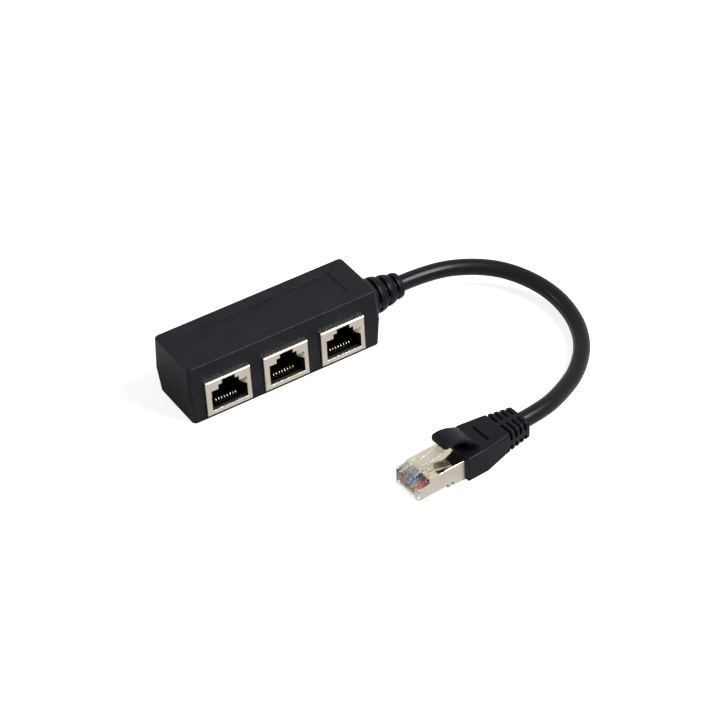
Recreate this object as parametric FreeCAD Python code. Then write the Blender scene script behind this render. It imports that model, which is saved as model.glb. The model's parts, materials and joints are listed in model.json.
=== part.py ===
import FreeCAD, Part

import math
import os

from FreeCAD import Placement, Rotation, Vector

# Three network sockets in one black housing, on a short cable that ends in a shielded plug.
# The housing runs along X, its sockets open towards -Y, and the cable leaves its +X end.
# The origin is at the middle of the housing's underside. All sizes are in millimetres.

# Housing
housing_end_margin = 6.05
housing_top_draft = 0.6
housing_bottom_draft = 0.8
housing_side_draft = 0.3
housing_rear_space = 6.4
housing_space_above_board = 3.36
housing_corner_radius = 1.5
housing_top_edge_radius = 0.9
housing_bottom_edge_radius = 0.3
housing_wall = 1.6
housing_floor = 1.5
parting_height = 9.75
cavity_corner_radius = 0.8
lip_height = 0.8
lip_thickness = 0.7
lip_clearance = 0.1
label_length = 53.4
label_width = 12.0
label_depth = 0.3
label_offset = -0.1
label_corner_radius = 0.6
post_radius = 1.5
lower_post_place = 2.0
upper_post_place = -4.0

# Sockets, measured from the middle of the shield's front face at its underside
socket_count = 3
socket_pitch = 21.0
socket_row_offset = -0.58
shield_width = 16.2
shield_height = 13.2
shield_sheet = 0.3
shield_edge_radius = 0.7
shield_stand_out = 1.1
socket_height = 1.77
window_clearance = 0.1
aperture_width = 12.8
aperture_bottom = 1.85
aperture_top = 9.5
notch_width = 7.4
notch_top = 11.1
latch_notch_width = 4.7
latch_notch_top = 12.55
aperture_lip = 0.9
ground_spring_height = 2.0
ground_spring_bottom = 6.9
ground_spring_reach = 1.4
ground_spring_length = 2.2
shield_tab_width = 1.6
shield_tab_place = 9.0
shield_roof_depth = 11.2
insert_gap = 0.05
insert_depth = 12.4
insert_back_wall = 0.4
cavity_inset = 0.4
carrier_gap = 0.1
carrier_depth = 2.4
carrier_width = 10.2

# Contacts of the sockets and of the plug
contact_count = 8
contact_pitch = 1.02
spring_radius = 0.22
spring_bend = 0.5
spring_slot = 0.52
spring_floor = 1.05
spring_front = 3.0
spring_crest = 2.75
spring_end_depth = 11.2
spring_end_height = 6.9
pin_row_gap = 0.03
pin_row_pitch = 1.2
pin_stand_out = 0.6
pin_hole_clearance = 0.1

# Circuit board above the sockets
board_thickness = 1.6
board_gap = 0.1
board_side_gap = 0.4

# Cable and its strain relief
cable_diameter = 5.5
cable_height = 10.5
relief_gap = 0.15
relief_length = 13.95
relief_root_radius = 7.0
relief_tip_radius = 4.0
relief_neck_radius = 5.0
relief_neck_clearance = 0.1
relief_flange_radius = 6.6
relief_flange_thickness = 1.15
relief_flange_clearance = 0.25
relief_slot_count = 3
relief_slot_first = 3.35
relief_slot_pitch = 3.9
relief_slot_width = 1.2
relief_slot_depth = 1.0
relief_spine_width = 2.2
relief_edge_radius = 0.4
bore_clearance = 0.03

# Wires from the cable's end up to the top of the circuit board
wire_diameter = 0.8
wire_fan_pitch = 1.02
wire_fan_split = 0.7
wire_end_gap = 0.12
board_wire_clearance = 0.17
board_wire_gap = 0.06
board_wire_rise_low = 1.14
board_wire_rise_high = 2.14
board_wire_pad_near = 2.15
board_wire_pad_far = 4.55
board_wire_spread = 2.0
board_wire_middle = -2.0
board_wire_bend = 0.48

# Plug, along it from its nose, with heights from its underside
plug_nose_x = 1.87
plug_nose_y = -75.99
plug_lift = 1.35
plug_heading = 4.0
plug_width = 11.3
plug_height = 6.25
plug_length = 21.5
nose_edge_radius = 1.3
nose_corner_radius = 0.7
plug_slot_width = 0.46
plug_slot_length = 5.6
plug_wire_height = 2.85
plug_wire_front = 1.1
plug_wire_straight = 1.0
plug_wire_bend = 0.8
wire_channel_clearance = 0.05
wire_channel_end = 6.6
plug_cavity_wall = 0.75
plug_cavity_floor = 1.0
plug_cavity_roof = 0.9
load_bar_length = 5.0
load_bar_gap = 0.08
blade_thickness = 0.34
blade_front = 0.35
blade_length = 4.9
blade_bottom = 0.3
blade_nose_radius = 0.6
plug_sheet = 0.2
sheet_gap = 0.02
plug_shield_front = 4.3
plug_shield_tongue = 0.6
plug_shield_tongue_top = 4.6
plug_shield_lower_edge = 0.2
plug_shield_edge_radius = 0.18
plug_shield_skirt_start = 10.4
plug_shield_skirt_drop = 0.85
plug_shield_nick = 0.8
plug_shield_nick_pitch = 1.92

# Latch, with heights from the plug's top
latch_root_place = 1.9
latch_root_rise = 0.3
latch_root_radius = 0.4
latch_clearance = 0.06
latch_crank_place = 3.4
latch_crank_rise = 0.95
latch_tip_place = 15.8
latch_tip_rise = 4.15
latch_thickness = 0.76
latch_web_width = 4.2
latch_shoulder_width = 6.2
latch_shoulder_start = 4.2
latch_shoulder_end = 6.4
latch_lever_width = 3.2

# Boot, along it from its front face, with its top measured from the plug's top
boot_overlap = 3.5
boot_fit = 0.05
boot_pocket_gap = 0.9
boot_side_wall = 1.43
boot_stations = [0.0, 7.5, 15.5, 25.3]
boot_tail_half_widths = [6.5, 5.1]
boot_bottoms = [-1.35, -1.35, 0.15, 0.1]
boot_rises = [1.35, 1.55, 1.45, 0.95]
boot_corner_radii = [0.7, 0.7, 1.2, 1.8]
boot_rib_start = 17.3
boot_rib_pitch = 2.05
boot_rib_count = 4
boot_slot_width = 1.0
boot_slot_depth = 0.55
boot_slot_side_depth = 1.2
boot_spine_width = 1.5
boot_top_slot_place = 10.0
boot_top_slot_length = 7.8
boot_top_slot_width = 1.1
boot_top_slot_depth = 0.5
cable_in_boot = 3.65
cable_end_gap = 2.0
guard_length = 12.4
guard_crease_place = 6.4
guard_half_width = 3.7
guard_root_half_width = 5.6
guard_flare = 0.57
guard_thickness = 1.3
guard_root_thickness = 1.7
guard_arch_place = 5.0
guard_arch_rise = 6.05
guard_inner_back = 0.8
guard_inner_drop = 1.05
guard_flat_length = 2.6
guard_top_rise = 7.25
guard_tip_drop = 0.4
guard_tip_radius = 1.2
scoop_half_width = 4.9
scoop_rise = 0.75

# The cable's route: straight out of the strain relief, round these points, straight into the boot
cable_straight_out = 12.5
cable_straight_in = 10.0
cable_arc_share = 0.45
cable_route = [
    (75.4, -3.9, 9.2),
    (85.4, -11.5, 7.2),
    (91.4, -24.9, 5.0),
    (90.7, -39.2, 3.45),
    (85.1, -51.7, 2.85),
    (75.7, -61.3, 2.85),
    (66.1, -67.1, 3.5),
]

# How far a cut reaches past the face that it opens, and how close two heights count as one
overshoot = 1.0
tolerance = 1e-4

# Values worked out from the sizes above
insert_inset = shield_sheet + insert_gap
insert_back = insert_inset + insert_depth
cavity_depth = insert_depth - insert_back_wall
shield_depth = insert_back + carrier_gap + carrier_depth + insert_inset
pin_row_front = insert_back + carrier_gap + pin_row_gap + spring_radius
pin_row_back = pin_row_front + pin_row_pitch
board_underside = socket_height + shield_height + board_gap
board_top = board_underside + board_thickness
pin_top = board_top - socket_height + pin_stand_out
housing_height = board_top + housing_space_above_board + housing_wall
housing_length_parting = (socket_count - 1) * socket_pitch + shield_width + 2 * housing_end_margin
housing_length_top = housing_length_parting - 2 * housing_top_draft
housing_length_bottom = housing_length_parting - 2 * housing_bottom_draft
housing_depth_parting = shield_depth - shield_stand_out + housing_rear_space + housing_wall
housing_depth_ends = housing_depth_parting - 2 * housing_side_draft
housing_middle = shield_stand_out / 2
socket_face = -housing_depth_parting / 2 + housing_middle - shield_stand_out
flange_above_parting = cable_height + relief_flange_radius - parting_height
flange_below_parting = parting_height + relief_flange_radius - cable_height
flange_wall_draft = max(
    housing_top_draft * flange_above_parting / (housing_height - parting_height),
    housing_bottom_draft * flange_below_parting / parting_height,
)
relief_start = housing_length_parting / 2 + relief_gap
relief_end = relief_start + relief_length
relief_flange_end = housing_length_parting / 2 - flange_wall_draft - housing_wall - relief_flange_clearance
relief_flange_start = relief_flange_end - relief_flange_thickness
cable_radius = cable_diameter / 2
wire_radius = wire_diameter / 2
board_wire_column_near = relief_flange_start - wire_radius - board_wire_clearance
board_wire_column_far = board_wire_column_near - wire_diameter - board_wire_gap
board_right_end = board_wire_column_far - wire_radius - board_wire_clearance
plug_half_outer = plug_width / 2 + sheet_gap + plug_sheet
plug_roof = plug_height + sheet_gap + plug_sheet
latch_root_height = plug_height + latch_root_rise
latch_tip_height = plug_height + latch_tip_rise
boot_front = plug_length - boot_overlap
boot_end = boot_front + boot_stations[-1]
boot_pocket_end = plug_length + boot_pocket_gap
boot_front_half_width = plug_half_outer + boot_fit + boot_side_wall
boot_half_widths = [boot_front_half_width, boot_front_half_width] + boot_tail_half_widths
cable_end_in_boot = boot_pocket_end + cable_end_gap
guard_crease = boot_front + guard_crease_place
guard_tip = guard_crease - guard_length
guard_top_height = plug_height + guard_top_rise
scoop_floor = plug_height + scoop_rise
scoop_end = guard_crease - guard_root_thickness
arc_middle = 1 - math.sqrt(0.5)
plug_place = Placement(
    Vector(plug_nose_x, plug_nose_y, plug_lift),
    Rotation(Vector(0, 0, 1), plug_heading),
)


def block(x0, x1, y0, y1, z0, z1):
    return Part.makeBox(x1 - x0, y1 - y0, z1 - z0, Vector(x0, y0, z0))


def rounded_outline(half_a, low_b, high_b, radius, point):
    """A closed outline of four lines and four arcs; point(a, b) gives each corner in space."""
    mid = radius * arc_middle
    corners = [(1, 1, high_b), (-1, 1, high_b), (-1, -1, low_b), (1, -1, low_b)]
    ends = []
    for index, (side_a, side_b, b) in enumerate(corners):
        along_a = point(side_a * (half_a - radius), b)
        along_b = point(side_a * half_a, b - side_b * radius)
        middle = point(side_a * (half_a - mid), b - side_b * mid)
        pair = (along_b, along_a) if index % 2 == 0 else (along_a, along_b)
        ends.append((pair[0], middle, pair[1]))
    edges = []
    for index, (start, middle, finish) in enumerate(ends):
        edges.append(Part.Arc(start, middle, finish).toShape())
        edges.append(Part.LineSegment(finish, ends[(index + 1) % 4][0]).toShape())
    return Part.Wire(edges)


def level_outline(length, depth, radius, z):
    """A rounded rectangle at height z, about the housing's middle line."""
    return rounded_outline(
        length / 2, housing_middle - depth / 2, housing_middle + depth / 2, radius,
        lambda a, b: Vector(a, b, z),
    )


def edges_at_height(shape, z):
    return [e for e in shape.Edges if all(abs(v.Z - z) < tolerance for v in e.Vertexes)]


def round_cylinder(start, finish, radius):
    direction = finish.sub(start)
    return Part.makeCylinder(radius, direction.Length, start, direction)


def bent_path(points, bends):
    """Straight runs joined by tangent arcs. bends gives the tangent length at each inner point."""
    edges = []
    last = points[0]
    for index in range(1, len(points) - 1):
        corner = points[index]
        back = points[index - 1].sub(corner).normalize()
        ahead = points[index + 1].sub(corner).normalize()
        reach = bends[index - 1]
        start = corner.add(Vector(back).multiply(reach))
        finish = corner.add(Vector(ahead).multiply(reach))
        half_turn = (math.pi - back.getAngle(ahead)) / 2
        radius = reach / math.tan(half_turn)
        inward = back.add(ahead).normalize()
        depth = radius / math.cos(half_turn) - radius
        middle = corner.add(inward.multiply(depth))
        edges.append(Part.LineSegment(last, start).toShape())
        edges.append(Part.Arc(start, middle, finish).toShape())
        last = finish
    edges.append(Part.LineSegment(last, points[-1]).toShape())
    return Part.Wire(edges)


def swept_round(path, radius, start, direction):
    profile = Part.Wire(Part.makeCircle(radius, start, direction))
    return path.makePipeShell([profile], True, False)


def bent_rod(points, radius, bend):
    """A round rod whose corners are arcs with one tangent length."""
    path = bent_path(points, [bend] * len(points[1:-1]))
    return swept_round(path, radius, points[0], points[1].sub(points[0]))


def socket_places():
    """The middle of each socket along X."""
    first = socket_row_offset - (socket_count - 1) / 2 * socket_pitch
    return [first + index * socket_pitch for index in range(socket_count)]


def contact_places():
    first = -(contact_count - 1) / 2 * contact_pitch
    return [first + index * contact_pitch for index in range(contact_count)]


def at_socket(shape, place):
    moved = shape.copy()
    moved.translate(Vector(place, socket_face, socket_height))
    return moved


def on_plug(shape):
    moved = shape.copy()
    moved.Placement = plug_place.multiply(moved.Placement)
    return moved


# Housing shells

def housing_half(lower_size, upper_size, z0, z1):
    lower = level_outline(lower_size[0], lower_size[1], lower_size[2], z0)
    upper = level_outline(upper_size[0], upper_size[1], upper_size[2], z1)
    return Part.makeLoft([lower, upper], True, True)


def inner_size(length, depth):
    return (length - 2 * housing_wall, depth - 2 * housing_wall, cavity_corner_radius)


def size_between(size_a, size_b, share):
    return tuple(a + (b - a) * share for a, b in zip(size_a, size_b))


def lip_ring(clearance):
    """The raised inner lip of the lower shell, which the upper shell fits over."""
    length, depth, radius = inner_size(housing_length_parting, housing_depth_parting)
    grow = 2 * (lip_thickness + clearance)
    outer = Part.Face(level_outline(length + grow, depth + grow, radius + grow / 2, parting_height))
    inner = Part.Face(level_outline(length, depth, radius, parting_height))
    rise = Vector(0, 0, lip_height + clearance)
    return outer.extrude(rise).cut(inner.extrude(rise))


def socket_windows():
    """The space that the shields and their clearance take out of the front wall and the floor."""
    gap = window_clearance
    cuts = []
    for place in socket_places():
        cuts.append(block(
            place - shield_width / 2 - gap, place + shield_width / 2 + gap,
            socket_face - overshoot, socket_face + shield_depth + gap,
            socket_height - gap, socket_height + shield_height + gap,
        ))
    return cuts


def relief_hole():
    """The round hole in the end wall, which the strain relief's neck passes through."""
    return Part.makeCylinder(
        relief_neck_radius + relief_neck_clearance, relief_end - relief_flange_start,
        Vector(relief_flange_start, housing_middle, cable_height), Vector(1, 0, 0),
    )


def posts(place, z0, z1):
    """Round posts between the sockets."""
    sockets = socket_places()
    middles = [(a + b) / 2 for a, b in zip(sockets, sockets[1:])]
    return [Part.makeCylinder(post_radius, z1 - z0, Vector(x, place, z0)) for x in middles]


def upper_shell():
    parting = (housing_length_parting, housing_depth_parting, housing_corner_radius)
    top = (housing_length_top, housing_depth_ends, housing_corner_radius)
    outer = housing_half(parting, top, parting_height, housing_height)
    outer = outer.makeFillet(housing_top_edge_radius, edges_at_height(outer, housing_height))
    ceiling = housing_height - housing_wall
    share = (ceiling - parting_height) / (housing_height - parting_height)
    inner_parting = inner_size(*parting[:2])
    inner_ceiling = size_between(inner_parting, inner_size(*top[:2]), share)
    shell = outer.cut(housing_half(inner_parting, inner_ceiling, parting_height, ceiling))
    label = level_outline(label_length, label_width, label_corner_radius, housing_height - label_depth)
    label.translate(Vector(0, label_offset, 0))
    recess = Part.Face(label).extrude(Vector(0, 0, label_depth + overshoot))
    shell = shell.cut([recess, relief_hole(), lip_ring(lip_clearance)] + socket_windows())
    return shell.fuse(posts(upper_post_place, board_top, ceiling + label_depth)).removeSplitter()


def lower_shell():
    bottom = (housing_length_bottom, housing_depth_ends, housing_corner_radius)
    parting = (housing_length_parting, housing_depth_parting, housing_corner_radius)
    outer = housing_half(bottom, parting, 0, parting_height)
    outer = outer.makeFillet(housing_bottom_edge_radius, edges_at_height(outer, 0))
    share = housing_floor / parting_height
    inner_parting = inner_size(*parting[:2])
    inner_floor = size_between(inner_size(*bottom[:2]), inner_parting, share)
    shell = outer.cut(housing_half(inner_floor, inner_parting, housing_floor, parting_height))
    shell = shell.fuse(lip_ring(0))
    shell = shell.cut([relief_hole()] + socket_windows())
    return shell.fuse(posts(lower_post_place, housing_floor / 2, board_underside)).removeSplitter()


def circuit_board():
    length, depth, _ = inner_size(housing_length_top, housing_depth_ends)
    board = block(
        -length / 2 + board_side_gap, board_right_end,
        housing_middle - depth / 2 + board_side_gap, housing_middle + depth / 2 - board_side_gap,
        board_underside, board_top,
    )
    cuts = []
    for place in socket_places():
        for index, x in enumerate(contact_places()):
            y = socket_face + (pin_row_front if index % 2 == 0 else pin_row_back)
            cuts.append(Part.makeCylinder(
                spring_radius + pin_hole_clearance, 2 * board_thickness,
                Vector(place + x, y, board_underside - board_thickness / 2),
            ))
        for side in (-1, 1):
            x = place + side * (shield_width - shield_sheet) / 2
            y = socket_face + shield_tab_place
            half_x = shield_sheet / 2 + pin_hole_clearance
            half_y = shield_tab_width / 2 + pin_hole_clearance
            cuts.append(block(x - half_x, x + half_x, y - half_y, y + half_y,
                              board_underside - overshoot, board_top + overshoot))
    return board.cut(cuts)


# Sockets, built about their own front face

def aperture(inset, y0, y1):
    """The stepped opening for a plug and its latch, made smaller by inset on every side."""
    steps = [
        (aperture_width, aperture_bottom + inset, aperture_top - inset),
        (notch_width, aperture_top - overshoot, notch_top - inset),
        (latch_notch_width, notch_top - overshoot, latch_notch_top - inset),
    ]
    parts = [block(-w / 2 + inset, w / 2 - inset, y0, y1, low, high) for w, low, high in steps]
    return parts[0].fuse(parts[1:]).removeSplitter()


def socket_shield():
    half = shield_width / 2
    outer = block(-half, half, 0, shield_depth, 0, shield_height)
    front_edges = [e for e in outer.Edges if all(abs(v.Y) < tolerance for v in e.Vertexes)]
    outer = outer.makeFillet(shield_edge_radius, front_edges)
    sheet = shield_sheet
    hollow = block(-half + sheet, half - sheet, sheet, shield_depth - sheet, sheet, shield_height - sheet)
    open_roof = block(-half + sheet, half - sheet, shield_roof_depth, shield_depth - sheet,
                      shield_height - 2 * sheet, shield_height + overshoot)
    shield = outer.cut([hollow, open_roof, aperture(0, -overshoot, 2 * sheet)])
    lip = block(-aperture_width / 2, aperture_width / 2, sheet / 2, aperture_lip,
                aperture_bottom - sheet, aperture_bottom)
    shield = shield.fuse(lip)
    for side in (-1, 1):
        x = side * (half - sheet / 2)
        tab = block(x - sheet / 2, x + sheet / 2, shield_tab_place - shield_tab_width / 2,
                    shield_tab_place + shield_tab_width / 2, shield_height / 2,
                    pin_top)
        shield = shield.fuse([tab, ground_spring(side)])
    return shield.removeSplitter()


def ground_spring(side):
    """A finger of the sheet, bent in from the side of the opening."""
    edge = aperture_width / 2
    outline = [
        (edge + shield_sheet, shield_sheet / 2),
        (edge - shield_sheet / 2, shield_sheet / 2),
        (edge - ground_spring_reach, ground_spring_length),
        (edge - ground_spring_reach + shield_sheet, ground_spring_length + shield_sheet / 2),
        (edge + shield_sheet, shield_sheet * 1.5),
    ]
    corners = [Vector(side * x, y, ground_spring_bottom) for x, y in outline]
    face = Part.Face(Part.makePolygon(corners + corners[:1]))
    return face.extrude(Vector(0, 0, ground_spring_height))


def socket_insert():
    """The black moulding inside the shield, with the plug's cavity and the contact slots."""
    inset = insert_inset
    half = shield_width / 2 - inset
    front = inset - overshoot
    behind = insert_back + overshoot
    body = block(-half, half, inset, insert_back, inset, shield_height - inset)
    cuts = [aperture(cavity_inset, front, inset + cavity_depth)]
    spring_room = ground_spring_length + 2 * shield_sheet
    for side in (-1, 1):
        near = side * (aperture_width / 2 - ground_spring_reach - shield_sheet)
        far = side * (aperture_width / 2 + inset)
        cuts.append(block(min(near, far), max(near, far), front, spring_room,
                          ground_spring_bottom - insert_gap,
                          ground_spring_bottom + ground_spring_height + insert_gap))
    cuts.append(block(-aperture_width / 2 - insert_gap, aperture_width / 2 + insert_gap,
                      front, aperture_lip + insert_gap,
                      aperture_bottom - inset, aperture_bottom + cavity_inset + insert_gap))
    slot_start = spring_front - spring_radius - insert_gap
    for x in contact_places():
        cuts.append(block(x - spring_slot / 2, x + spring_slot / 2, slot_start, behind,
                          spring_floor - spring_radius - insert_gap,
                          aperture_bottom + cavity_inset + overshoot))
        cuts.append(block(x - spring_slot / 2, x + spring_slot / 2,
                          inset + cavity_depth - overshoot, behind, aperture_bottom,
                          spring_end_height + 2 * spring_radius))
    return body.cut(cuts)


def socket_carrier():
    """The rear block that leads the contacts up to the circuit board."""
    inset = insert_inset
    y0 = insert_back + carrier_gap
    y1 = y0 + carrier_depth
    body = block(-carrier_width / 2, carrier_width / 2, y0, y1, inset, shield_height - inset)
    cuts = []
    for index, x in enumerate(contact_places()):
        row = pin_row_front if index % 2 == 0 else pin_row_back
        cuts.append(block(x - spring_slot / 2, x + spring_slot / 2, y0 - overshoot,
                          row + spring_radius + insert_gap,
                          spring_floor - spring_radius - insert_gap, shield_height))
    return body.cut(cuts)


def socket_contacts():
    """Eight gold-plated spring wires, side by side."""
    wires = []
    for index, x in enumerate(contact_places()):
        row = pin_row_front if index % 2 == 0 else pin_row_back
        points = [
            Vector(x, spring_end_depth, spring_end_height),
            Vector(x, spring_front, spring_crest),
            Vector(x, spring_front, spring_floor),
            Vector(x, row, spring_floor),
            Vector(x, row, pin_top),
        ]
        wires.append(bent_rod(points, spring_radius, spring_bend))
    return Part.makeCompound(wires)


# Strain relief and cable

def relief_radius(x):
    share = (x - relief_start) / relief_length
    return relief_root_radius + (relief_tip_radius - relief_root_radius) * share


def strain_relief():
    """A tapered black moulding on the cable, slotted across so that it bends."""
    outline = [
        (relief_flange_start, cable_radius + bore_clearance),
        (relief_flange_start, relief_flange_radius),
        (relief_flange_end, relief_flange_radius),
        (relief_flange_end, relief_neck_radius),
        (relief_start, relief_neck_radius),
        (relief_start, relief_root_radius),
        (relief_end - relief_edge_radius, relief_tip_radius),
        (relief_end, relief_tip_radius - relief_edge_radius),
        (relief_end, cable_radius + bore_clearance),
    ]
    corners = [Vector(x, housing_middle, cable_height + r) for x, r in outline]
    face = Part.Face(Part.makePolygon(corners + corners[:1]))
    body = face.revolve(Vector(0, housing_middle, cable_height), Vector(1, 0, 0), 360)
    half_spine = relief_spine_width / 2
    reach = 2 * relief_root_radius
    spines = block(relief_start, relief_end, housing_middle - reach, housing_middle + reach,
                   cable_height - half_spine, cable_height + half_spine)
    cuts = []
    for index in range(relief_slot_count):
        place = relief_start + relief_slot_first + index * relief_slot_pitch
        start = Vector(place - relief_slot_width / 2, housing_middle, cable_height)
        ring = Part.makeCylinder(reach, relief_slot_width, start, Vector(1, 0, 0))
        core = relief_radius(place) - relief_slot_depth
        ring = ring.cut(Part.makeCylinder(core, relief_slot_width, start, Vector(1, 0, 0)))
        cuts.append(ring.cut(spines))
    return body.cut(cuts)


def cable_start():
    return Vector(relief_end, housing_middle, cable_height)


def cable_finish():
    return plug_place.multVec(Vector(boot_end, 0, cable_in_boot))


def cable():
    """The free length of the cable, with its radii and length printed."""
    after_start = cable_start().add(Vector(cable_straight_out, 0, 0))
    before_finish = plug_place.multVec(Vector(boot_end + cable_straight_in, 0, cable_in_boot))
    middle = [Vector(*p) for p in cable_route]
    points = [cable_start(), after_start] + middle + [before_finish, cable_finish()]
    print("cable points", [tuple(round(c, 2) for c in p) for p in points])
    runs = [b.sub(a).Length for a, b in zip(points, points[1:])]
    reaches = [cable_arc_share * min(a, b) for a, b in zip(runs, runs[1:])]
    radii = []
    for index, reach in enumerate(reaches):
        back = points[index].sub(points[index + 1])
        ahead = points[index + 2].sub(points[index + 1])
        radii.append(reach / math.tan((math.pi - back.getAngle(ahead)) / 2))
    path = bent_path(points, reaches)
    tube = swept_round(path, cable_radius, points[0], points[1].sub(points[0]))
    section = math.pi * cable_radius ** 2
    print("cable runs", [round(r, 1) for r in runs], "radii", [round(r, 1) for r in radii])
    share = tube.Volume / (section * path.Length)
    print("cable length %.1f, volume share %.4f" % (path.Length, share))
    return tube


def cable_end_in_housing():
    start = Vector(relief_flange_start, housing_middle, cable_height)
    return round_cylinder(start, cable_start(), cable_radius)


def cable_end_in_plug():
    start = Vector(cable_end_in_boot, 0, cable_in_boot)
    finish = Vector(boot_end, 0, cable_in_boot)
    return on_plug(round_cylinder(start, finish, cable_radius))


def fan_place(index):
    """Where a wire leaves the cable's end, as its column and its row."""
    columns = contact_count // 2
    column = (index // 2 - (columns - 1) / 2) * wire_fan_pitch
    row = wire_fan_split if index % 2 else -wire_fan_split
    return column, row


def board_wire(index):
    """One insulated wire, from the cable's end up and over to its pad on the board."""
    column, row = fan_place(index)
    high = row > 0
    x_turn = board_wire_column_near if high else board_wire_column_far
    z_turn = board_top + (board_wire_rise_high if high else board_wire_rise_low)
    x_pad = board_right_end - (board_wire_pad_far if high else board_wire_pad_near)
    y_pad = board_wire_middle + column / wire_fan_pitch * board_wire_spread
    y_start = housing_middle + column
    points = [
        Vector(relief_flange_start, y_start, cable_height + row),
        Vector(x_turn, y_start, cable_height + row),
        Vector(x_turn, y_pad, z_turn),
        Vector(x_pad, y_pad, z_turn),
        Vector(x_pad, y_pad, board_top),
    ]
    return bent_rod(points, wire_radius, board_wire_bend)


# Plug, built along its own length from its nose

def plug_body():
    half = plug_width / 2
    body = block(0, plug_length, -half, half, 0, plug_height)
    nose = [e for e in edges_at_height(body, plug_height) if e.BoundBox.XMax < tolerance]
    body = body.makeFillet(nose_edge_radius, nose)
    sides = [e for e in body.Edges if e.BoundBox.ZLength > nose_edge_radius and e.BoundBox.XMax < tolerance]
    body = body.makeFillet(nose_corner_radius, sides)
    gap = wire_channel_clearance
    reach = contact_places()[-1] + wire_radius + gap
    channel = block(plug_wire_front - gap, wire_channel_end + overshoot, -reach, reach,
                    plug_wire_height - wire_radius - gap, plug_wire_height + wire_radius + gap)
    hollow = block(wire_channel_end, plug_length + overshoot, -half + plug_cavity_wall,
                   half - plug_cavity_wall, plug_cavity_floor, plug_height - plug_cavity_roof)
    trough = Part.makeCylinder(
        latch_root_radius + latch_clearance, latch_web_width + 2 * latch_clearance,
        Vector(latch_root_place, -latch_web_width / 2 - latch_clearance, latch_root_height),
        Vector(0, 1, 0),
    )
    cuts = [channel, hollow, trough]
    for y in contact_places():
        cuts.append(block(-overshoot, plug_slot_length, y - plug_slot_width / 2,
                          y + plug_slot_width / 2, -overshoot, plug_wire_height - wire_radius))
    return body.cut(cuts)


def plug_contacts():
    """Eight gold-plated blades, whose tops reach the wires."""
    blades = []
    top = plug_wire_height - wire_radius
    for y in contact_places():
        blade = block(blade_front, blade_front + blade_length, y - blade_thickness / 2,
                      y + blade_thickness / 2, blade_bottom, top)
        lower = [e for e in edges_at_height(blade, blade_bottom)
                 if e.BoundBox.XMax < blade_front + tolerance]
        blades.append(blade.makeFillet(blade_nose_radius, lower))
    return Part.makeCompound(blades)


def load_bar():
    """The comb that keeps the eight wires in order behind the contacts."""
    gap = load_bar_gap
    half = plug_width / 2 - plug_cavity_wall - gap
    start = wire_channel_end + gap
    bar = block(start, start + load_bar_length, -half, half,
                plug_cavity_floor + gap, plug_height - plug_cavity_roof - gap)
    holes = [Part.makeCylinder(wire_radius + wire_channel_clearance, load_bar_length + 2 * overshoot,
                               Vector(start - overshoot, y, plug_wire_height), Vector(1, 0, 0))
             for y in contact_places()]
    return bar.cut(holes)


def plug_wire(index):
    """One insulated wire, from its contact back to the end of the cable."""
    y = contact_places()[index]
    column, row = fan_place(index)
    bend = wire_channel_end + load_bar_length + plug_wire_straight
    points = [
        Vector(plug_wire_front, y, plug_wire_height),
        Vector(bend, y, plug_wire_height),
        Vector(cable_end_in_boot - wire_end_gap, column, cable_in_boot + row),
    ]
    return bent_rod(points, wire_radius, plug_wire_bend)


def plug_shield():
    """The folded metal jacket of the plug, with a longer tongue low on each side of the nose."""
    outer = plug_half_outer
    inner = outer - plug_sheet
    low = plug_shield_lower_edge
    skirt = -plug_shield_skirt_drop
    jacket = block(plug_shield_front, plug_length, -outer, outer, plug_roof - plug_sheet, plug_roof)
    sides = []
    for side in (-1, 1):
        y0 = min(side * inner, side * outer)
        y1 = max(side * inner, side * outer)
        sides.append(block(plug_shield_front, plug_length, y0, y1, low, plug_roof))
        sides.append(block(plug_shield_tongue, plug_length, y0, y1, low, plug_shield_tongue_top))
        sides.append(block(plug_shield_skirt_start, plug_length, y0, y1, skirt, low))
    floor = block(plug_shield_skirt_start, plug_length, -outer, outer, skirt, skirt + plug_sheet)
    shield = jacket.fuse(sides + [floor]).removeSplitter()
    top_edges = [e for e in edges_at_height(shield, plug_roof)
                 if abs(abs(e.BoundBox.YMin) - outer) < tolerance and e.BoundBox.YLength < tolerance]
    shield = shield.makeFillet(plug_shield_edge_radius, top_edges)
    nicks = []
    for place in (plug_shield_skirt_start, plug_shield_skirt_start + plug_shield_nick_pitch):
        nicks.append(block(place, place + plug_shield_nick, -outer - overshoot, outer + overshoot,
                           skirt - overshoot, low + plug_shield_nick / 2))
    return shield.cut(nicks)


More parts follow.
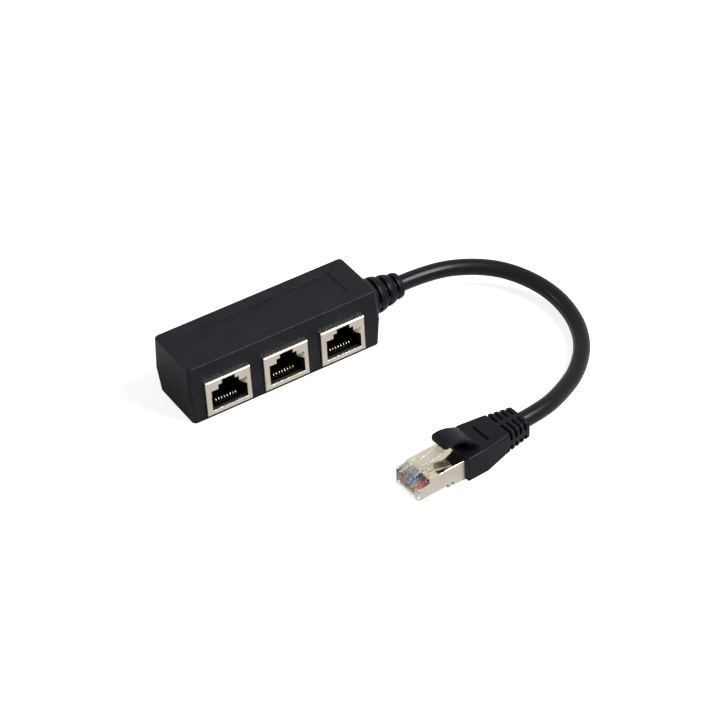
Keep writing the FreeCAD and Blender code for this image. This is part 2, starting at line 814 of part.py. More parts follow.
def plug_latch():
    """The springy lever on top of the nose, pressed down to release the plug."""
    half = latch_thickness / 2
    line = [
        (latch_root_place, latch_root_height),
        (latch_crank_place, plug_height + latch_crank_rise),
        (latch_tip_place, latch_tip_height),
    ]
    slopes = [math.atan2(b[1] - a[1], b[0] - a[0]) for a, b in zip(line, line[1:])]
    angles = [slopes[0], (slopes[0] + slopes[1]) / 2, slopes[1]]
    upper = [(u - half * math.sin(a), w + half * math.cos(a)) for (u, w), a in zip(line, angles)]
    lower = [(u + half * math.sin(a), w - half * math.cos(a)) for (u, w), a in zip(line, angles)]
    corners = [Vector(u, 0, w) for u, w in upper + lower[::-1]]
    band_width = latch_shoulder_width + 2 * overshoot
    side_face = Part.Face(Part.makePolygon(corners + corners[:1]))
    side_face.translate(Vector(0, -band_width / 2, 0))
    band = side_face.extrude(Vector(0, band_width, 0))
    roof = latch_tip_height + latch_thickness
    web = block(latch_root_place, latch_shoulder_start + overshoot,
                -latch_web_width / 2, latch_web_width / 2, 0, roof)
    shoulder = block(latch_shoulder_start, latch_shoulder_end,
                     -latch_shoulder_width / 2, latch_shoulder_width / 2, 0, roof)
    lever = block(latch_shoulder_end - overshoot, latch_tip_place + overshoot,
                  -latch_lever_width / 2, latch_lever_width / 2, 0, roof)
    plan = web.fuse([shoulder, lever]).removeSplitter()
    root = Part.makeCylinder(latch_root_radius, latch_web_width,
                             Vector(latch_root_place, -latch_web_width / 2, latch_root_height),
                             Vector(0, 1, 0))
    return band.common(plan).fuse(root).removeSplitter()


# Boot

def boot_size(u):
    """Half the width, the underside and the top of the boot at u, between its stations."""
    spans = list(zip(boot_stations, boot_stations[1:]))
    place = u - boot_front
    index = next((i for i, (a, b) in enumerate(spans) if place <= b), len(spans) - 1)
    a, b = spans[index]
    share = (place - a) / (b - a)
    tops = [plug_height + rise for rise in boot_rises]
    rows = (boot_half_widths, boot_bottoms, tops)
    return [row[index] + (row[index + 1] - row[index]) * share for row in rows]


def boot_outline(index):
    u = boot_front + boot_stations[index]
    half_width, low, high = boot_size(u)
    return rounded_outline(half_width, low, high, boot_corner_radii[index], lambda a, b: Vector(u, a, b))


def boot_slots():
    """Slots across the tail, broken by a spine along its top, its underside and each side."""
    cuts = []
    half_spine = boot_spine_width / 2
    for count in range(boot_rib_count):
        u = boot_front + boot_rib_start + count * boot_rib_pitch
        half_width, low, high = boot_size(u)
        side = half_width + overshoot
        middle = (low + high) / 2
        u0, u1 = u - boot_slot_width / 2, u + boot_slot_width / 2
        slot = block(u0, u1, -side, side, low - overshoot, high + overshoot)
        core = block(u0, u1, -half_width + boot_slot_side_depth, half_width - boot_slot_side_depth,
                     low + boot_slot_depth, high - boot_slot_depth)
        upright = block(u0, u1, -half_spine, half_spine, low - overshoot, high + overshoot)
        level = block(u0, u1, -side, side, middle - half_spine, middle + half_spine)
        cuts.append(slot.cut([core, upright, level]))
    return cuts


def guard_profile():
    """The guard seen from the side: an arch from its root up to its flat tip."""
    arch_u = guard_crease - guard_arch_place
    arch_w = plug_height + guard_arch_rise
    top_u = guard_tip + guard_flat_length
    tip_w = guard_top_height - guard_tip_drop
    crease = Vector(guard_crease, 0, boot_size(guard_crease)[2])
    root = Vector(guard_crease, 0, scoop_floor)
    inner_root = Vector(scoop_end, 0, scoop_floor)
    top = Vector(top_u, 0, guard_top_height)
    tip = Vector(guard_tip, 0, tip_w)
    low_top = Vector(top_u, 0, guard_top_height - guard_thickness)
    low_tip = Vector(guard_tip, 0, tip_w - guard_thickness)
    arch = Vector(arch_u, 0, arch_w)
    inner_arch = Vector(arch_u - guard_inner_back, 0, arch_w - guard_inner_drop)
    return Part.Face(Part.Wire([
        Part.LineSegment(root, crease).toShape(),
        Part.Arc(crease, arch, top).toShape(),
        Part.LineSegment(top, tip).toShape(),
        Part.LineSegment(tip, low_tip).toShape(),
        Part.LineSegment(low_tip, low_top).toShape(),
        Part.Arc(low_top, inner_arch, inner_root).toShape(),
        Part.LineSegment(inner_root, root).toShape(),
    ]))


def guard_plan():
    """The guard seen from above: a round-cornered tongue that flares to its root."""
    flare_start = guard_crease - guard_arch_place
    rounding = guard_tip_radius * arc_middle
    inner = guard_half_width - guard_tip_radius
    edges = []
    for side in (1, -1):
        tip_end = Vector(guard_tip, side * inner, 0)
        tip_middle = Vector(guard_tip + rounding, side * (guard_half_width - rounding), 0)
        line_start = Vector(guard_tip + guard_tip_radius, side * guard_half_width, 0)
        line_end = Vector(flare_start, side * guard_half_width, 0)
        flare = Vector((flare_start + guard_crease) / 2, side * (guard_half_width + guard_flare), 0)
        corner = Vector(guard_crease, side * guard_root_half_width, 0)
        edges += [
            Part.Arc(tip_end, tip_middle, line_start).toShape(),
            Part.LineSegment(line_start, line_end).toShape(),
            Part.Arc(line_end, flare, corner).toShape(),
        ]
    for u, half in ((guard_tip, inner), (guard_crease, guard_root_half_width)):
        edges.append(Part.LineSegment(Vector(u, half, 0), Vector(u, -half, 0)).toShape())
    return Part.Face(Part.Wire(Part.__sortEdges__(edges)))


def guard():
    """The arched tongue that rises over the latch's tip."""
    reach = guard_root_half_width + overshoot
    side_face = guard_profile()
    side_face.translate(Vector(0, -reach, 0))
    band = side_face.extrude(Vector(0, 2 * reach, 0))
    return band.common(guard_plan().extrude(Vector(0, 0, guard_top_height + overshoot)))


def boot():
    """The soft black boot behind the plug, in one piece with its guard."""
    body = Part.makeLoft([boot_outline(i) for i in range(len(boot_stations))], True, True)
    half = plug_half_outer + boot_fit
    front = boot_front - overshoot
    pocket = block(front, boot_pocket_end, -half, half,
                   -plug_shield_skirt_drop - boot_fit, plug_roof + boot_fit)
    bore = Part.makeCylinder(cable_radius + bore_clearance, boot_end - boot_front + overshoot,
                             Vector(boot_front, 0, cable_in_boot), Vector(1, 0, 0))
    scoop = block(front, scoop_end, -scoop_half_width, scoop_half_width,
                  scoop_floor, scoop_floor + guard_top_height)
    slot_middle = boot_front + boot_top_slot_place
    slot_top = boot_size(slot_middle)[2]
    top_slot = block(slot_middle - boot_top_slot_width / 2, slot_middle + boot_top_slot_width / 2,
                     -boot_top_slot_length / 2, boot_top_slot_length / 2,
                     slot_top - boot_top_slot_depth, slot_top + overshoot)
    body = body.cut([pocket, bore, scoop, top_slot] + boot_slots())
    return body.fuse(guard()).removeSplitter()


def wire_pairs():
    """The wires' colours, each with the two contacts that its pair goes to."""
    return {"orange": (0, 1), "green": (2, 5), "blue": (3, 4), "brown": (6, 7)}


def build():
    nodes = {
        "upper_shell": upper_shell(),
        "lower_shell": lower_shell(),
        "circuit_board": circuit_board(),
        "strain_relief": strain_relief(),
        "cable": cable(),
        "cable_end_in_housing": cable_end_in_housing(),
        "cable_end_in_plug": cable_end_in_plug(),
        "plug_body": on_plug(plug_body()),
        "plug_contacts": on_plug(plug_contacts()),
        "plug_load_bar": on_plug(load_bar()),
        "plug_shield": on_plug(plug_shield()),
        "plug_latch": on_plug(plug_latch()),
        "boot": on_plug(boot()),
    }
    socket_pieces = {
        "socket_shield": socket_shield(),
        "socket_insert": socket_insert(),
        "socket_carrier": socket_carrier(),
        "socket_contacts": socket_contacts(),
    }
    for number, place in enumerate(socket_places(), 1):
        for name, shape in socket_pieces.items():
            nodes["%s_%d" % (name, number)] = at_socket(shape, place)
    for colour, indices in wire_pairs().items():
        nodes["board_wires_%s" % colour] = Part.makeCompound([board_wire(i) for i in indices])
        nodes["plug_wires_%s" % colour] = Part.makeCompound([on_plug(plug_wire(i)) for i in indices])
    return nodes


os.makedirs("parts", exist_ok=True)
for name, shape in build().items():
    if not shape.isValid():
        print("not valid:", name)
    shape.exportStep("parts/%s.step" % name)
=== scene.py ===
import json
import math

import bmesh
import bpy
from mathutils import Matrix, Vector


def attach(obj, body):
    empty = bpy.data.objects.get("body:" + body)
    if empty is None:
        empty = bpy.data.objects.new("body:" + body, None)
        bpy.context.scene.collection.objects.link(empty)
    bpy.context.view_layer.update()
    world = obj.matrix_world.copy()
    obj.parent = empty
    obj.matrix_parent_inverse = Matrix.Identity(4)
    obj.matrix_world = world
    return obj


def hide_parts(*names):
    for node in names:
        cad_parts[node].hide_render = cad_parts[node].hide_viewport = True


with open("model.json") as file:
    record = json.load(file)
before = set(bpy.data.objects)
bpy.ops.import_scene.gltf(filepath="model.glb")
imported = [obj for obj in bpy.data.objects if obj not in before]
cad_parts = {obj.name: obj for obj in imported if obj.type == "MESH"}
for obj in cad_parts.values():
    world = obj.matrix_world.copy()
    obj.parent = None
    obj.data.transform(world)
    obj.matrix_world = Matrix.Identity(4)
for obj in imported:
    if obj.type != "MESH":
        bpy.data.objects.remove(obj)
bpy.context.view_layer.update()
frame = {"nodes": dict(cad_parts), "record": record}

# A black network splitter: three sockets in one housing, a short cable and a shielded plug.
# Lengths in the dictionaries are millimetres unless a note says otherwise.

millimetre = 0.001


def mm(*values):
    return Vector(values) * millimetre


# The plug's own directions: along it from the nose, across it and up

plugPlace = {"noseX": 1.87, "noseY": -75.99, "lift": 1.35, "heading": 4.0}
plugTurn = Matrix.Rotation(math.radians(plugPlace["heading"]), 4, "Z")
plugMatrix = Matrix.Translation(mm(plugPlace["noseX"], plugPlace["noseY"], plugPlace["lift"])) @ plugTurn


# Node helpers for the materials

def newMaterial(name):
    material = bpy.data.materials.new(name)
    material.use_nodes = True
    nodes = material.node_tree.nodes
    shader = nodes["Principled BSDF"]
    return material, nodes, material.node_tree.links, shader


def noise(nodes, links, vector, scale, detail=2.0, roughness=0.5):
    node = nodes.new("ShaderNodeTexNoise")
    node.inputs["Scale"].default_value = scale
    node.inputs["Detail"].default_value = detail
    node.inputs["Roughness"].default_value = roughness
    links.new(vector, node.inputs["Vector"])
    return node.outputs["Fac"]


def mapRange(nodes, links, value, low, high, fromLow=0.3, fromHigh=0.7):
    node = nodes.new("ShaderNodeMapRange")
    node.inputs["From Min"].default_value = fromLow
    node.inputs["From Max"].default_value = fromHigh
    node.inputs["To Min"].default_value = low
    node.inputs["To Max"].default_value = high
    links.new(value, node.inputs["Value"])
    return node.outputs["Result"]


def mixColour(nodes, links, factor, first, second):
    node = nodes.new("ShaderNodeMix")
    node.data_type = "RGBA"
    for index, colour in ((6, first), (7, second)):
        if isinstance(colour, tuple):
            node.inputs[index].default_value = (*colour, 1)
        else:
            links.new(colour, node.inputs[index])
    links.new(factor, node.inputs[0])
    return node.outputs[2]


def bump(nodes, links, height, distance):
    node = nodes.new("ShaderNodeBump")
    node.inputs["Strength"].default_value = 1.0
    node.inputs["Distance"].default_value = distance
    links.new(height, node.inputs["Height"])
    return node.outputs["Normal"]


def maths(nodes, links, operation, *values):
    node = nodes.new("ShaderNodeMath")
    node.operation = operation
    for socket, value in zip(node.inputs, values):
        if isinstance(value, (int, float)):
            socket.default_value = value
        else:
            links.new(value, socket)
    return node.outputs[0]


def stretched(nodes, links, vector, scale, turn=0.0):
    node = nodes.new("ShaderNodeMapping")
    node.inputs["Scale"].default_value = scale
    node.inputs["Rotation"].default_value = (0, 0, turn)
    links.new(vector, node.inputs["Vector"])
    return node.outputs["Vector"]


def objectPoints(nodes):
    return nodes.new("ShaderNodeTexCoord").outputs["Object"]


# Finishes: colours are linear, noise scales are per metre, depths are metres

blackSheen = (0.86, 0.92, 1.0)   # the plastics mirror a little more blue than red
dustScale = 90.0                 # slow clouding of the plastics


def moulded(name, colour, lighter, roughness, grain, grainDepth, specular=0.5):
    material, nodes, links, shader = newMaterial(name)
    points = objectPoints(nodes)
    cloud = mapRange(nodes, links, noise(nodes, links, points, dustScale, 4.0, 0.6), 0, 0.45)
    fine = noise(nodes, links, points, grain, 3.0, 0.6)
    speckle = mapRange(nodes, links, fine, 0, 0.55)
    share = maths(nodes, links, "ADD", cloud, speckle)
    links.new(mixColour(nodes, links, share, colour, lighter), shader.inputs["Base Color"])
    links.new(mapRange(nodes, links, fine, *roughness), shader.inputs["Roughness"])
    shader.inputs["Specular IOR Level"].default_value = specular
    shader.inputs["Specular Tint"].default_value = (*blackSheen, 1)
    links.new(bump(nodes, links, fine, grainDepth), shader.inputs["Normal"])
    return material


def satinNickel(name, colour, darker, roughness, grain, grainDepth):
    material, nodes, links, shader = newMaterial(name)
    points = objectPoints(nodes)
    cloud = mapRange(nodes, links, noise(nodes, links, points, 210.0, 4.0, 0.6), 0, 1)
    links.new(mixColour(nodes, links, cloud, colour, darker), shader.inputs["Base Color"])
    fine = noise(nodes, links, stretched(nodes, links, points, (1.0, 1.0, 0.35)), grain, 3.0)
    links.new(mapRange(nodes, links, fine, *roughness), shader.inputs["Roughness"])
    shader.inputs["Metallic"].default_value = 1.0
    links.new(bump(nodes, links, fine, grainDepth), shader.inputs["Normal"])
    return material


def foldedNickel(name, colour, darker, shadedSideColour):
    # The plug's jacket is polished on its roof, and has a rolled, upright grain on its sides; its roof is
    # also painted lighter and its sides darker, as painted light and shade
    material, nodes, links, shader = newMaterial(name)
    coordinates = nodes.new("ShaderNodeTexCoord")
    points = coordinates.outputs["Object"]
    normal = nodes.new("ShaderNodeSeparateXYZ")
    links.new(coordinates.outputs["Normal"], normal.inputs[0])
    roof = mapRange(nodes, links, normal.outputs["Z"], 0.0, 1.0, 0.5, 0.8)
    cloud = mapRange(nodes, links, noise(nodes, links, points, 260.0, 4.0, 0.6), 0, 1)
    # Painted light and shade: a lighter colour on the roof and a darker one on the sides, for how the light
    # falls on them
    litRoofColour = mixColour(nodes, links, cloud, colour, darker)
    links.new(mixColour(nodes, links, roof, shadedSideColour, litRoofColour), shader.inputs["Base Color"])
    turn = -math.radians(plugPlace["heading"])
    grain = noise(nodes, links, stretched(nodes, links, points, (1.0, 1.0, 0.08), turn), 2600.0, 3.0)
    sideShare = maths(nodes, links, "SUBTRACT", 1.0, roof)
    polished = maths(nodes, links, "MULTIPLY", mapRange(nodes, links, grain, 0.06, 0.1), roof)
    rolled = maths(nodes, links, "MULTIPLY", mapRange(nodes, links, grain, 0.24, 0.36), sideShare)
    links.new(maths(nodes, links, "ADD", polished, rolled), shader.inputs["Roughness"])
    shader.inputs["Metallic"].default_value = 1.0
    grainShare = maths(nodes, links, "ADD", sideShare, 0.12)      # the roof keeps a trace of it
    height = maths(nodes, links, "MULTIPLY", grain, grainShare)
    links.new(bump(nodes, links, height, 0.000012), shader.inputs["Normal"])
    return material


def goldPlate(name, bright, shadedGold, shadeFrom, shadeTo):
    # Painted shade: the colour goes from the bright gold to a near-black further in along Y, between the
    # two depths in metres, where the inside of a socket lies in shade
    material, nodes, links, shader = newMaterial(name)
    points = objectPoints(nodes)
    place = nodes.new("ShaderNodeSeparateXYZ")
    links.new(points, place.inputs[0])
    depth = mapRange(nodes, links, place.outputs["Y"], 0, 1, shadeFrom, shadeTo)
    cloud = noise(nodes, links, points, 1500.0, 3.0)
    # Painted shade by depth, with a little random mottling from the cloud
    shadeAndMottle = maths(nodes, links, "ADD", depth, maths(nodes, links, "MULTIPLY", cloud, 0.2))
    share = maths(nodes, links, "MINIMUM", shadeAndMottle, 1.0)
    links.new(mixColour(nodes, links, share, bright, shadedGold), shader.inputs["Base Color"])
    links.new(mapRange(nodes, links, cloud, 0.16, 0.3), shader.inputs["Roughness"])
    shader.inputs["Metallic"].default_value = 1.0
    links.new(bump(nodes, links, cloud, 0.000003), shader.inputs["Normal"])
    return material


def clearPlastic(name, frost, seeThrough, refraction):
    material, nodes, links, shader = newMaterial(name)
    points = objectPoints(nodes)
    waves = noise(nodes, links, points, 420.0, 2.0)
    share = mapRange(nodes, links, waves, 0, 1)
    tint = mixColour(nodes, links, share, (0.96, 0.965, 0.97), (0.91, 0.92, 0.93))
    links.new(tint, shader.inputs["Base Color"])
    links.new(mapRange(nodes, links, waves, 0.01, 0.04), shader.inputs["Roughness"])
    shader.inputs["Transmission Weight"].default_value = 1.0 - frost
    shader.inputs["IOR"].default_value = refraction
    shader.inputs["Specular IOR Level"].default_value = 0.9
    shader.inputs["Alpha"].default_value = 1.0 - seeThrough
    links.new(bump(nodes, links, waves, 0.000006), shader.inputs["Normal"])
    return material


def wireJacket(name, colour, pale):
    # One wire of a pair is plain and the other pale with bands: the attribute pale tells them apart
    material, nodes, links, shader = newMaterial(name)
    points = objectPoints(nodes)
    paleWire = nodes.new("ShaderNodeAttribute")
    paleWire.attribute_name = "pale"
    bands = nodes.new("ShaderNodeTexWave")
    bands.inputs["Scale"].default_value = 330.0
    links.new(points, bands.inputs["Vector"])
    between = mapRange(nodes, links, bands.outputs["Fac"], 0, 1, 0.32, 0.38)
    cloud = mapRange(nodes, links, noise(nodes, links, points, 900.0, 3.0), 0, 1)
    plain = mixColour(nodes, links, cloud, colour, tuple(0.8 * c for c in colour))
    share = maths(nodes, links, "MULTIPLY", between, paleWire.outputs["Fac"])
    links.new(mixColour(nodes, links, share, plain, pale), shader.inputs["Base Color"])
    links.new(mapRange(nodes, links, cloud, 0.35, 0.45, 0, 1), shader.inputs["Roughness"])
    return material


finishes = {
    "housing_plastic": moulded("housingPlastic", (0.0008, 0.0011, 0.0022), (0.0150, 0.0165, 0.0210),
                               (0.24, 0.46), 2300.0, 0.00014, 0.17),
    "boot_vinyl": moulded("bootVinyl", (0.0030, 0.0036, 0.0052), (0.0095, 0.0107, 0.0135),
                          (0.30, 0.44), 3000.0, 0.00004, 0.14),
    "cable_jacket": moulded("cableJacket", (0.0030, 0.0030, 0.0034), (0.0045, 0.0045, 0.005),
                            (0.25, 0.33), 1500.0, 0.00001, 0.25),
    "insert_plastic": moulded("insertPlastic", (0.002, 0.002, 0.0022), (0.003, 0.003, 0.0034),
                              (0.32, 0.42), 2500.0, 0.00001, 0.08),
    "board_laminate": moulded("boardLaminate", (0.02, 0.12, 0.06), (0.03, 0.16, 0.08),
                              (0.3, 0.45), 900.0, 0.00001),
    "socket_nickel": satinNickel("socketNickel", (0.80, 0.735, 0.63), (0.72, 0.65, 0.545), (0.26, 0.38),
                                 2600.0, 0.000008),
    # Its roof colour is painted light and its side colour is painted shade
    "plug_nickel": foldedNickel("plugNickel", (0.95, 0.86, 0.67), (0.86, 0.76, 0.58), (0.64, 0.595, 0.52)),
    # Its second, near-black colour is painted shade deep inside the sockets
    "gold_contact": goldPlate("goldContact", (0.95, 0.86, 0.66), (0.022, 0.017, 0.009), -0.0086, -0.0080),
    "clear_plastic": clearPlastic("clearPlastic", 0.0, 0.35, 1.32),
    "latch_plastic": clearPlastic("latchPlastic", 0.12, 0.15, 1.5),      # a little milky
    "wire_orange": wireJacket("wireOrange", (0.72, 0.14, 0.06), (0.86, 0.74, 0.68)),
    "wire_green": wireJacket("wireGreen", (0.04, 0.34, 0.28), (0.68, 0.82, 0.78)),
    "wire_blue": wireJacket("wireBlue", (0.06, 0.13, 0.50), (0.74, 0.78, 0.90)),
    "wire_brown": wireJacket("wireBrown", (0.56, 0.13, 0.07), (0.86, 0.72, 0.66)),
}
print("finishes ready:", len(finishes))

slotOf = {part["node"]: part["material_slot"] for part in frame["record"]["subparts"]}
bodyOf = {name: body for body, names in frame["record"]["behaviour"]["bodies"].items() for name in names}


def dressCadNodes():
    for name, node in frame["nodes"].items():
        node.data.materials.clear()
        node.data.materials.append(finishes[slotOf[name]])


dressCadNodes()


# Camera: the photograph's own view

camera = {
    "lens": 126.494,
    "place": (-0.28991, -0.55574, 0.51041),
    "right": (0.84275, -0.53601, -0.04971),
    "down": (-0.3718, -0.51281, -0.77381),
    "forward": (0.38928, 0.67061, -0.63146),
}


def makeCamera():
    data = bpy.data.cameras.new("photoView")
    data.lens = camera["lens"]
    data.sensor_width = 36.0
    data.clip_start, data.clip_end = 0.01, 20.0
    holder = bpy.data.objects.new("photoView", data)
    bpy.context.scene.collection.objects.link(holder)
    columns = (Vector(camera["right"]), -Vector(camera["down"]), -Vector(camera["forward"]))
    holder.matrix_world = Matrix.Translation(camera["place"]) @ Matrix(columns).transposed().to_4x4()
    bpy.context.scene.camera = holder


makeCamera()


# Pieces: each takes the place of one or more CAD nodes of one finish

copying = {
    "merge": 0.002,              # corners closer than this become one
    "sliver": 0.004,             # edges shorter than this go
    "flat": 0.4,                 # degrees between faces that count as one
    "sharp": 34.0,               # degrees between faces whose edge is rounded
    "crease": 40.0,              # degrees between faces that are shaded apart
}


def makePiece(name, data, *nodes):
    piece = bpy.data.objects.new(name, data)
    bpy.context.scene.collection.objects.link(piece)
    if not data.materials:
        data.materials.append(finishes[slotOf[nodes[0]]])
    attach(piece, bodyOf[nodes[0]])
    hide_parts(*nodes)
    return piece


def plainMesh(holder):
    # The holder with its modifiers applied, as a mesh of its own
    bpy.context.view_layer.update()
    graph = bpy.context.evaluated_depsgraph_get()
    mesh = bpy.data.meshes.new_from_object(holder.evaluated_get(graph), preserve_all_data_layers=True,
                                           depsgraph=graph)
    bpy.data.objects.remove(holder)
    return mesh


def mergedCopy(node, wholeFaces=True):
    # The CAD mesh is loose triangles: a copy is joined up, and its flat faces made whole if asked
    work = bmesh.new()
    work.from_mesh(frame["nodes"][node].data)
    bmesh.ops.remove_doubles(work, verts=work.verts, dist=copying["merge"] * millimetre)
    bmesh.ops.dissolve_degenerate(work, dist=copying["sliver"] * millimetre, edges=work.edges)
    if wholeFaces:
        flat = math.radians(copying["flat"])
        bmesh.ops.dissolve_limit(work, angle_limit=flat, verts=work.verts, edges=work.edges)
    mesh = bpy.data.meshes.new(node + "Copy")
    work.to_mesh(mesh)
    work.free()
    return mesh


def linkedHolder(name, data):
    holder = bpy.data.objects.new(name, data)
    bpy.context.scene.collection.objects.link(holder)
    return holder


def softened(pieceName, node, edge, segments=2, wholeFaces=True):
    # A stamped or moulded part with its sharp edges rounded by this much
    holder = linkedHolder(pieceName + "Holder", mergedCopy(node, wholeFaces))
    holder.data.shade_smooth()
    rounding = holder.modifiers.new("edges", "BEVEL")
    rounding.width = edge * millimetre
    rounding.segments = segments
    rounding.limit_method = "ANGLE"
    rounding.angle_limit = math.radians(copying["sharp"])
    rounding.use_clamp_overlap = False
    shading = holder.modifiers.new("shading", "WEIGHTED_NORMAL")
    shading.keep_sharp = True
    return makePiece(pieceName, plainMesh(holder), node)


def movedCopy(pieceName, piece, node, shift):
    # The same part again, further along the housing
    mesh = piece.data.copy()
    mesh.transform(Matrix.Translation(shift))
    return makePiece(pieceName, mesh, node)


def boxMesh(name, boxes, matrix):
    # Separate boxes, each given by its lowest and highest corner
    work = bmesh.new()
    for low, high in boxes:
        size = Vector(high) - Vector(low)
        middle = (Vector(high) + Vector(low)) / 2
        place = Matrix.Translation(middle * millimetre) @ Matrix.Diagonal((*(size * millimetre), 1))
        bmesh.ops.create_cube(work, size=1.0, matrix=matrix @ place)
    mesh = bpy.data.meshes.new(name)
    work.to_mesh(mesh)
    work.free()
    return mesh


def remeshed(pieceName, node, grid, rounds, cutter):
    # A soft moulding: its copy is rebuilt on an even grid, which lets all its edges round over
    holder = linkedHolder(pieceName + "Holder", mergedCopy(node))
    cut = holder.modifiers.new("deepSlots", "BOOLEAN")
    cut.operation = "DIFFERENCE"
    cut.solver = "EXACT"
    cut.object = cutter
    rebuild = holder.modifiers.new("grid", "REMESH")
    rebuild.mode = "VOXEL"
    rebuild.voxel_size = grid * millimetre
    rebuild.use_smooth_shade = True
    smooth = holder.modifiers.new("roundOver", "SMOOTH")
    smooth.factor = 0.5
    smooth.iterations = rounds
    mesh = plainMesh(holder)
    bpy.data.objects.remove(cutter)
    return makePiece(pieceName, mesh, node)


# Geometry Nodes helpers: a tree has named inputs, and ends in Realize Instances and Set Material

def newTree(name, sizes):
    tree = bpy.data.node_groups.new(name, "GeometryNodeTree")
    tree.is_modifier = True
    tree.interface.new_socket("Geometry", in_out="INPUT", socket_type="NodeSocketGeometry")
    kinds = {int: "NodeSocketInt", float: "NodeSocketFloat", Vector: "NodeSocketVector"}
    for label, value in sizes.items():
        tree.interface.new_socket(label, in_out="INPUT", socket_type=kinds[type(value)])
    tree.interface.new_socket("Geometry", in_out="OUTPUT", socket_type="NodeSocketGeometry")
    return tree, tree.nodes, tree.links, tree.nodes.new("NodeGroupInput")


def closeTree(tree, geometry, material):
    nodes, links = tree.nodes, tree.links
    whole = nodes.new("GeometryNodeRealizeInstances")
    dress = nodes.new("GeometryNodeSetMaterial")
    dress.inputs["Material"].default_value = material
    finish = nodes.new("NodeGroupOutput")
    links.new(geometry, whole.inputs["Geometry"])
    links.new(whole.outputs["Geometry"], dress.inputs["Geometry"])
    links.new(dress.outputs["Geometry"], finish.inputs["Geometry"])


def grow(holder, tree, sizes):
    # Runs the tree on the holder with these sizes, and gives back a plain mesh
    modifier = holder.modifiers.new("grow", "NODES")
    modifier.node_group = tree
    for socket in tree.interface.items_tree:
        if socket.in_out == "INPUT" and socket.name in sizes:
            value = sizes[socket.name]
            modifier[socket.identifier] = tuple(value) if isinstance(value, Vector) else value
    return plainMesh(holder)


def rowTree(name, sizes, material, wires):
    # A row of like pieces; where wires is true, the piece is a bent line that gets a round section
    tree, nodes, links, given = newTree(name, sizes)
    piece = given.outputs["Geometry"]
    if wires:
        corners = nodes.new("GeometryNodeFilletCurve")
        corners.mode = "POLY"
        corners.inputs["Count"].default_value = 6
        corners.inputs["Limit Radius"].default_value = True
        links.new(piece, corners.inputs["Curve"])
        links.new(given.outputs["Bend"], corners.inputs["Radius"])
        section = nodes.new("GeometryNodeCurvePrimitiveCircle")
        section.inputs["Resolution"].default_value = 12
        links.new(given.outputs["Thickness"], section.inputs["Radius"])
        tube = nodes.new("GeometryNodeCurveToMesh")
        tube.inputs["Fill Caps"].default_value = True
        links.new(corners.outputs["Curve"], tube.inputs["Curve"])
        links.new(section.outputs["Curve"], tube.inputs["Profile Curve"])
        piece = tube.outputs["Mesh"]
    line = nodes.new("GeometryNodeMeshLine")
    links.new(given.outputs["Count"], line.inputs["Count"])
    links.new(given.outputs["Step"], line.inputs["Offset"])
    copies = nodes.new("GeometryNodeInstanceOnPoints")
    links.new(line.outputs["Mesh"], copies.inputs["Points"])
    links.new(piece, copies.inputs["Instance"])
    closeTree(tree, copies.outputs["Instances"], material)
    return tree


def bentLine(name, points):
    curve = bpy.data.curves.new(name, "CURVE")
    curve.dimensions = "3D"
    spline = curve.splines.new("POLY")
    spline.points.add(len(points) - 1)
    for point, place in zip(spline.points, points):
        point.co = (*place, 1)
    return linkedHolder(name, curve)


def joined(name, meshes, material):
    work = bmesh.new()
    for mesh in meshes:
        work.from_mesh(mesh)
    for face in work.faces:
        face.material_index = 0
    whole = bpy.data.meshes.new(name)
    work.to_mesh(whole)
    work.free()
    whole.materials.append(material)
    whole.shade_smooth()
    whole.set_sharp_from_angle(angle=math.radians(copying["crease"]))
    return whole


# Cable: the route repeats the part's own points

cable = {
    "diameter": 5.5,
    "length": 0.128,             # metres, along the middle of the jacket
    "route": [
        (49.25, 0.55, 10.5),
        (61.75, 0.55, 10.5),
        (75.4, -3.9, 9.2),
        (85.4, -11.5, 7.2),
        (91.4, -24.9, 5.0),
        (90.7, -39.2, 3.45),
        (85.1, -51.7, 2.85),
        (75.7, -61.3, 2.85),
        (66.1, -67.1, 3.5),
        (55.04, -72.27, 5.0),
        (45.06, -72.97, 5.0),
    ],
}


def makeCable():
    curve = bpy.data.curves.new("cableJacketLine", "CURVE")
    curve.dimensions = "3D"
    spline = curve.splines.new("NURBS")
    route = cable["route"]
    spline.points.add(len(route) - 1)
    for point, place in zip(spline.points, route):
        point.co = (*mm(*place), 1)
    spline.order_u = 3
    spline.use_endpoint_u = True
    spline.resolution_u = 24
    curve.bevel_depth = cable["diameter"] / 2 * millimetre
    curve.bevel_resolution = 10
    curve.use_fill_caps = True
    return makePiece("cableJacket", curve, "cable")


cablePiece = makeCable()
print("cable made")


# Strain relief: a ribbed taper, whose radius is a rule of the place along it and round it

strainRelief = {
    "Start": 35.3,               # where it leaves the housing's end, along X
    "Length": 13.95,
    "Root Radius": 7.0,
    "Tip Radius": 4.0,
    "First Slot": 3.35,
    "Slot Pitch": 3.9,
    "Slot Half Width": 0.6,
    "Slot Depth": 1.0,
    "Spine Half Width": 1.1,
    "Rib Bulge": 0.38,
    "Edge Round": 0.14,
    "Tip Round": 0.6,
    "Axis": (0.55, 10.5),        # across and up
    "slots": 3,
    "rows": 190,                 # corners of the sheet along it
    "around": 129,
    "crease": 50,                # degrees between faces that are shaded apart
}


